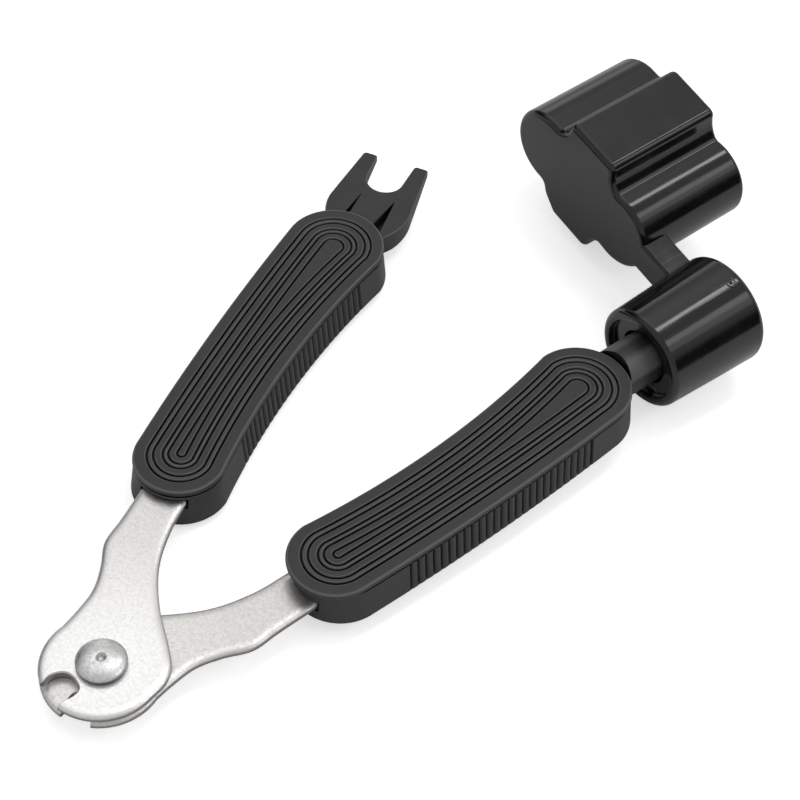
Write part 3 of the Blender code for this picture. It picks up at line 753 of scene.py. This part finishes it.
# Where the nested grooves and beads run, as insets from the cover's edge, and their sections, all in mm
GROOVES = (2.5, 3.6, 5.2, 6.15, 7.65)
BEADS = (3.05, 5.68)
GROOVE = (
    (-0.46, 0.0), (-0.34, -0.03), (-0.23, -0.12), (-0.16, -0.4), (-0.08, -0.65),
    (0.08, -0.65), (0.16, -0.4), (0.23, -0.12), (0.34, -0.03), (0.46, 0.0),
)
BEAD = ((0.0, 0.03),)


def cover_section(depth):
    """The section's points from the edge inwards, with grooves to a share of their full depth."""
    points = list(COVER_EDGE)
    features = [(centre, GROOVE, depth) for centre in GROOVES] + [(centre, BEAD, 1.0) for centre in BEADS]
    for centre, shape, share in sorted(features, key=lambda feature: feature[0]):
        points += [(centre + across, height * share) for across, height in shape]
    return [(inset * MM, height * MM) for inset, height in points]


def front_cover(name, place, side, body, node):
    """The plate that closes a grip's front, with nested grooves and beads."""
    top = GRIP_HALF_THICKNESS
    under = top - COVER_THICKNESS
    rings = [(placed(grip_outline(-0.35 * MM), side), under),
             (placed(grip_outline(-0.05 * MM), side), under + 0.06 * MM),
             (placed(grip_outline(), side), under + 0.2 * MM)]
    rings += [(placed(grip_outline(-inset), side), top + height) for inset, height in cover_section(1.0)]
    return dress(new_piece(name, stacked(rings), place), GRIP_PLASTIC, body, [node], 50)


def back_cover(name, place, side, body, node):
    """A plate let in flush with the body's back, with the same grooves, but shallow."""
    back = -GRIP_HALF_THICKNESS
    rings = [(placed(grip_outline(-BACK_COVER_INSET), side), back + COVER_THICKNESS),
             (placed(grip_outline(-BACK_COVER_INSET), side), back + 0.15 * MM),
             (placed(grip_outline(-BACK_COVER_INSET - 0.15 * MM), side), back)]
    rings += [(placed(grip_outline(-inset), side), back - height)
              for inset, height in cover_section(0.7) if inset > BACK_COVER_INSET + 0.5 * MM]
    return dress(new_piece(name, stacked(rings), place), GRIP_PLASTIC, body, [node], 50)


# The body's wall as (outward growth and height, in mm, share of the ribs' depth), from the foot up: a rounded
# foot, a drafted wall, and a step in under the front cover
BODY_WALL = ((0.28, -4.25, 0.0), (0.5, -4.15, 0.1), (0.6, -3.95, 0.3), (0.55, -3.4, 0.9), (0.5, -3.0, 1.0),
             (-0.1, 2.35, 1.0), (-0.2, 2.5, 0.8), (-0.9, 2.55, 0.0), (-0.95, 2.85, 0.0))


def grip_body(name, place, side, plate_bottom, set_back):
    """The moulded core: ribbed walls, a slot for the tang, pin holes and a recess for the back cover."""
    rings = [(placed(grip_outline(grow * MM, set_back, ribs * RIB_DEPTH), side), height * MM)
             for grow, height, ribs in BODY_WALL]
    body = new_piece(name, stacked(rings), place)
    slot = [(v, y) for v, y in grown(lever_outline(), TANG_CLEARANCE) if y > TANG_SLOT_START]
    cut(body, prism(placed(slot, side), plate_bottom - TANG_CLEARANCE,
                    plate_bottom + PLATE_THICKNESS + TANG_CLEARANCE), place)
    foot = -GRIP_HALF_THICKNESS
    top = GRIP_HALF_THICKNESS - COVER_THICKNESS - FIT_GAP
    cut(body, prism(placed(grip_outline(-BACK_COVER_INSET + FIT_GAP), side), foot - PAST, -top), place)
    for v, y in TANG_PIN_PLACES:
        cut(body, disc_z(TANG_PIN_RADIUS + FIT_GAP, (side * v, y), foot - PAST, top + PAST, 24), place)
    return body


def fork_height(at_base, at_tip):
    """The height of the fork's face as a function of (x, y): level up to its base, then sloping to its tip."""
    return lambda x, y: at_base + (at_tip - at_base) * max(0, y - FORK_BASE) / (FORK_TIP - FORK_BASE)


def left_body():
    """The left core, with the bridge-pin fork on its far end."""
    body = grip_body("left_grip_core", LEFT, -1, PLATE_GAP / 2, 0)
    outline = placed(fork_outline(), -1)
    inset = grown(outline, -FORK_EDGE)
    low = fork_height(FORK_BOTTOM_AT_BASE, FORK_BOTTOM_AT_TIP)
    high = fork_height(FORK_TOP_AT_BASE, FORK_TOP_AT_TIP)
    maker = bmesh.new()
    loops = []
    for ring, height, shift in ((inset, low, 0), (outline, low, FORK_EDGE), (outline, high, -FORK_EDGE),
                                (inset, high, 0)):
        loops.append([maker.verts.new((x, y, height(x, y) + shift)) for x, y in ring])
    maker.faces.new(loops[0])
    maker.faces.new(loops[-1])
    for lower, upper in zip(loops, loops[1:]):
        for i in range(len(lower)):
            j = (i + 1) % len(lower)
            maker.faces.new((lower[i], lower[j], upper[j], upper[i]))
    join(body, maker, LEFT)
    for points in FORK_SLITS:
        slit = placed(in_mm(*points), -1)
        cut(body, prism(slit, FORK_SLIT_FLOOR, FORK_SLIT_TOP), LEFT)
    return dress(body, GRIP_PLASTIC, "left_handle", ["left_grip_body"], 30)


def right_body():
    """The right core, with the winder's neck and post on its far end, drilled for the screw."""
    body = grip_body("right_grip_core", RIGHT, 1, -PLATE_GAP / 2 - PLATE_THICKNESS, RIGHT_BODY_SET_BACK)
    start = GRIP_FAR_CENTRE[1] + 2 * MM
    neck = [(0, start), (NECK_RADIUS, start), (NECK_RADIUS, NECK_END - 0.5 * MM),
            (NECK_RADIUS - 0.5 * MM, NECK_END), (POST_RADIUS, NECK_END), (POST_RADIUS, POST_END), (0, POST_END)]
    spindle = new_piece("spindle", lathe(neck, 72), AXLE)
    around = placed(grip_outline(0.7 * MM), 1)
    cut(spindle, prism(around, 2.5 * MM, 10 * MM), RIGHT)
    cut(spindle, prism(around, -10 * MM, -4.0 * MM), RIGHT)
    merge(body, spindle, "UNION")
    hole = [(0, POST_END - SCREW_LENGTH), (SCREW_HOLE_RADIUS, POST_END - SCREW_LENGTH),
            (SCREW_HOLE_RADIUS, POST_END + PAST), (0, POST_END + PAST)]
    cut(body, lathe(hole, 24), AXLE)
    return dress(body, GRIP_PLASTIC, "right_handle", ["right_grip_body"], 30)


# ---------------------------------------------------------------- winder


def rounded_rings(outline_at, start, end, near_round, far_round):
    """Rings along a moulding whose outline_at(shrink) is drawn in at both ends over quarter rounds."""
    rings = []
    for i in range(7):
        angle = pi / 2 * i / 6
        rings.append((outline_at(near_round * (1 - sin(angle))), start + near_round * (1 - cos(angle))))
    for i in range(5):
        angle = pi / 2 * i / 4
        rings.append((outline_at(far_round * (1 - cos(angle))), end - far_round * (1 - sin(angle))))
    return rings


def crank():
    """The hub, the arm and the hollow peg cap, in one gloss moulding."""
    taper = (HUB_END_RADIUS - HUB_START_RADIUS) / (HUB_END - HUB_START)
    hub = [(0, HUB_START + RECESS_DEPTH), (RECESS_RADIUS - 0.2 * MM, HUB_START + RECESS_DEPTH),
           (RECESS_RADIUS, HUB_START + RECESS_DEPTH - 0.2 * MM), (RECESS_RADIUS, HUB_START + 0.35 * MM),
           (RECESS_RADIUS + 0.1 * MM, HUB_START + 0.1 * MM), (RECESS_RADIUS + 0.35 * MM, HUB_START)]
    lip = HUB_START_LIP
    middle = HUB_START_RADIUS - lip
    hub += [(middle + lip * sin(pi / 16 * i), HUB_START + lip - lip * cos(pi / 16 * i)) for i in range(9)]
    edge = HUB_END_LIP
    for i in range(7):
        angle = pi / 2 * i / 6
        distance = HUB_END - edge + edge * sin(angle)
        hub.append((HUB_START_RADIUS + taper * (distance - HUB_START) - edge * (1 - cos(angle)), distance))
    hub.append((0, HUB_END))
    piece = new_piece("winder", lathe(hub, 128), CRANK)
    x, y = GATE_MARK_PLACE
    radius = HUB_START_RADIUS + taper * (y - HUB_START)
    mark = [(0, -0.6), (1.0, -0.6), (1.0, 0.0), (0.92, 0.13), (0.76, 0.13), (0.66, -0.06), (0.34, -0.06),
            (0.26, 0.2), (0.13, 0.26), (0, 0.26)]
    join(piece, lathe([(r * MM, z * MM) for r, z in mark], 24, "Z"),
         CRANK @ Matrix.Translation((x, y, -radius)) @ Matrix.Rotation(pi, 4, "X"))
    root = HUB_START_RADIUS - ARM_ROOT

    def arm_at(shrink):
        half = ARM_HALF_WIDTH - shrink
        return [(root, -half), (NEAR_LOBE, -half), (NEAR_LOBE, half), (root, half)]

    arm = rounded_rings(arm_at, CAP_START + ARM_STEP, CAP_START + ARM_THICKNESS, ARM_NEAR_ROUND, ARM_FAR_ROUND)
    join(piece, standing(arm), CRANK)
    outline = cap_outline()

    def cap_at(shrink):
        return grown(outline, -shrink) if shrink else outline

    cap = rounded_rings(cap_at, CAP_START, CAP_START + CAP_DEPTH, CAP_NEAR_ROUND, CAP_FAR_ROUND)
    join(piece, standing(cap), CRANK)
    cut(piece, standing([(cap_outline(CAP_WALL), CAP_START + CAP_FLOOR),
                         (cap_outline(CAP_WALL), CAP_START + CAP_DEPTH + PAST)]), CRANK)
    for radius, start, end in ((NECK_HOLE_RADIUS, HUB_START - PAST, NECK_HOLE_END),
                               (BUSH_SEAT_RADIUS, NECK_HOLE_END - PAST, BUSH_SEAT_END),
                               (WEB_HOLE_RADIUS, BUSH_SEAT_END - PAST, WEB_END + PAST),
                               (SCREW_WELL_RADIUS, WEB_END, HUB_END + PAST)):
        cut(piece, lathe([(0, start), (radius, start), (radius, end), (0, end)], 64), CRANK)
    return dress(piece, WINDER_PLASTIC, "winder", ["winder_crank"], 38)


# ---------------------------------------------------------------- stage, light and camera


def stage(pieces):
    """A white table, tilted under the tool and raised until it meets the tool's lowest point."""
    lowest = min(vertex.co.z - TABLE_RISE_X * vertex.co.x - TABLE_RISE_Y * vertex.co.y
                 for piece in pieces for vertex in piece.data.vertices)
    maker = bmesh.new()
    half = TABLE_HALF_SIDE
    corners = [(-half, -half), (half, -half), (half, half), (-half, half)]
    maker.faces.new([maker.verts.new((x, y, TABLE_RISE_X * x + TABLE_RISE_Y * y + lowest - TABLE_GAP))
                     for x, y in corners])
    floor = new_piece("table", maker, Matrix.Identity(4))
    floor.data.materials.append(white_stage("white table"))


def heading(azimuth_deg, elevation_deg):
    """The direction at this azimuth, from +Y towards +X, and this elevation."""
    azimuth, elevation = radians(azimuth_deg), radians(elevation_deg)
    return Vector((sin(azimuth) * cos(elevation), cos(azimuth) * cos(elevation), sin(elevation)))


def softbox(name, direction, distance, width, height, radiance, along):
    """A glowing panel seen from the tool in this direction, its height laid along another one."""
    light = bpy.data.lights.new(name, "AREA")
    light.shape = "RECTANGLE"
    light.size = width
    light.size_y = height
    light.energy = radiance * pi * width * height
    lamp = bpy.data.objects.new(name, light)
    bpy.context.scene.collection.objects.link(lamp)
    up = (along - direction * along.dot(direction)).normalized()
    turn = Matrix((up.cross(direction), up, direction)).transposed().to_4x4()
    lamp.matrix_world = Matrix.Translation(TOOL_CENTRE + direction * distance) @ turn


def glow(tree, coords, direction, inner_deg, outer_deg, strength):
    """A soft round patch of light on the walls round a direction."""
    dot = tree.nodes.new("ShaderNodeVectorMath")
    dot.operation = "DOT_PRODUCT"
    tree.links.new(coords, dot.inputs[0])
    dot.inputs[1].default_value = direction
    spread = tree.nodes.new("ShaderNodeMapRange")
    spread.interpolation_type = "SMOOTHSTEP"
    spread.inputs["From Min"].default_value = cos(radians(outer_deg))
    spread.inputs["From Max"].default_value = cos(radians(inner_deg))
    spread.inputs["To Max"].default_value = strength
    tree.links.new(dot.outputs["Value"], spread.inputs["Value"])
    return spread.outputs["Result"]


def surroundings():
    """Even pale walls, with two brighter patches on the left and a dim horizon on both sides."""
    world = bpy.data.worlds.new("studio")
    bpy.context.scene.world = world
    world.use_nodes = True
    tree = world.node_tree
    coords = tree.nodes.new("ShaderNodeTexCoord").outputs["Generated"]
    # The first sum adds the walls' level to its patch, and each later one adds its patch to the sum so far
    total = None
    for source in [glow(tree, coords, heading(*place), inner, outer, strength)
                   for place, inner, outer, strength in WALL_GLOWS]:
        add = tree.nodes.new("ShaderNodeMath")
        add.operation = "ADD"
        add.inputs[1].default_value = WALL_LEVEL
        tree.links.new(source, add.inputs[0])
        if total is not None:
            tree.links.new(total, add.inputs[1])
        total = add.outputs["Value"]
    least = tree.nodes.new("ShaderNodeMath")
    least.operation = "MAXIMUM"
    least.inputs[1].default_value = WALL_LEAST
    tree.links.new(total, least.inputs[0])
    background = tree.nodes["Background"].inputs
    background["Color"].default_value = (1, 1, 1, 1)
    tree.links.new(least.outputs["Value"], background["Strength"])


def camera():
    """The camera, looking down at the tool from the rivet's end."""
    azimuth, elevation, roll = CAMERA_AZIMUTH, CAMERA_ELEVATION, CAMERA_ROLL
    back = Vector((sin(azimuth) * cos(elevation), -cos(azimuth) * cos(elevation), sin(elevation)))
    right = Vector((cos(azimuth), sin(azimuth), 0))
    up = back.cross(right)
    rolled_right = right * cos(roll) + up * sin(roll)
    rolled_up = up * cos(roll) - right * sin(roll)
    lens = bpy.data.cameras.new("camera")
    lens.lens = CAMERA_LENS_MM
    lens.clip_start = 0.01
    lens.clip_end = 20
    view = bpy.data.objects.new("camera", lens)
    bpy.context.scene.collection.objects.link(view)
    turn = Matrix((rolled_right, rolled_up, back)).transposed().to_4x4()
    view.matrix_world = Matrix.Translation(CAMERA_PLACE) @ turn
    bpy.context.scene.camera = view


# ---------------------------------------------------------------- assembly

lever_plate("left_lever_plate", LEFT, -1, PLATE_GAP / 2, UPPER_STEEL, "left_handle", "upper_lever")
lever_plate("right_lever_plate", RIGHT, 1, -PLATE_GAP / 2 - PLATE_THICKNESS, SHADED_LOWER_STEEL, "right_handle",
            "lower_lever")
rivet()
left_body()
right_body()
for hand, place, side in (("left", LEFT, -1), ("right", RIGHT, 1)):
    front_cover(f"{hand}_front_cover", place, side, f"{hand}_handle", f"{hand}_grip_front_cover")
    back_cover(f"{hand}_back_cover", place, side, f"{hand}_handle", f"{hand}_grip_back_cover")
crank()

for name in ("pivot_washer", "spindle_washer", "spindle_screw", "hub_bush", "left_tang_pin_near",
             "left_tang_pin_far", "right_tang_pin_near", "right_tang_pin_far"):
    node = frame["nodes"][name]
    node.data.materials.clear()
    node.data.materials.append(NYLON if name == "hub_bush" else RIVET_STEEL)

stage([obj for obj in bpy.context.scene.objects if obj.type == "MESH"])
surroundings()
axle_direction = AXLE.to_3x3() @ Vector((0, 1, 0))
for name, place, width, radiance in SOFTBOXES:
    softbox(name, heading(*place), SOFTBOX_DISTANCE, width, SOFTBOX_HEIGHT, radiance, axle_direction)
camera()
bpy.context.scene.view_settings.view_transform = "Standard"
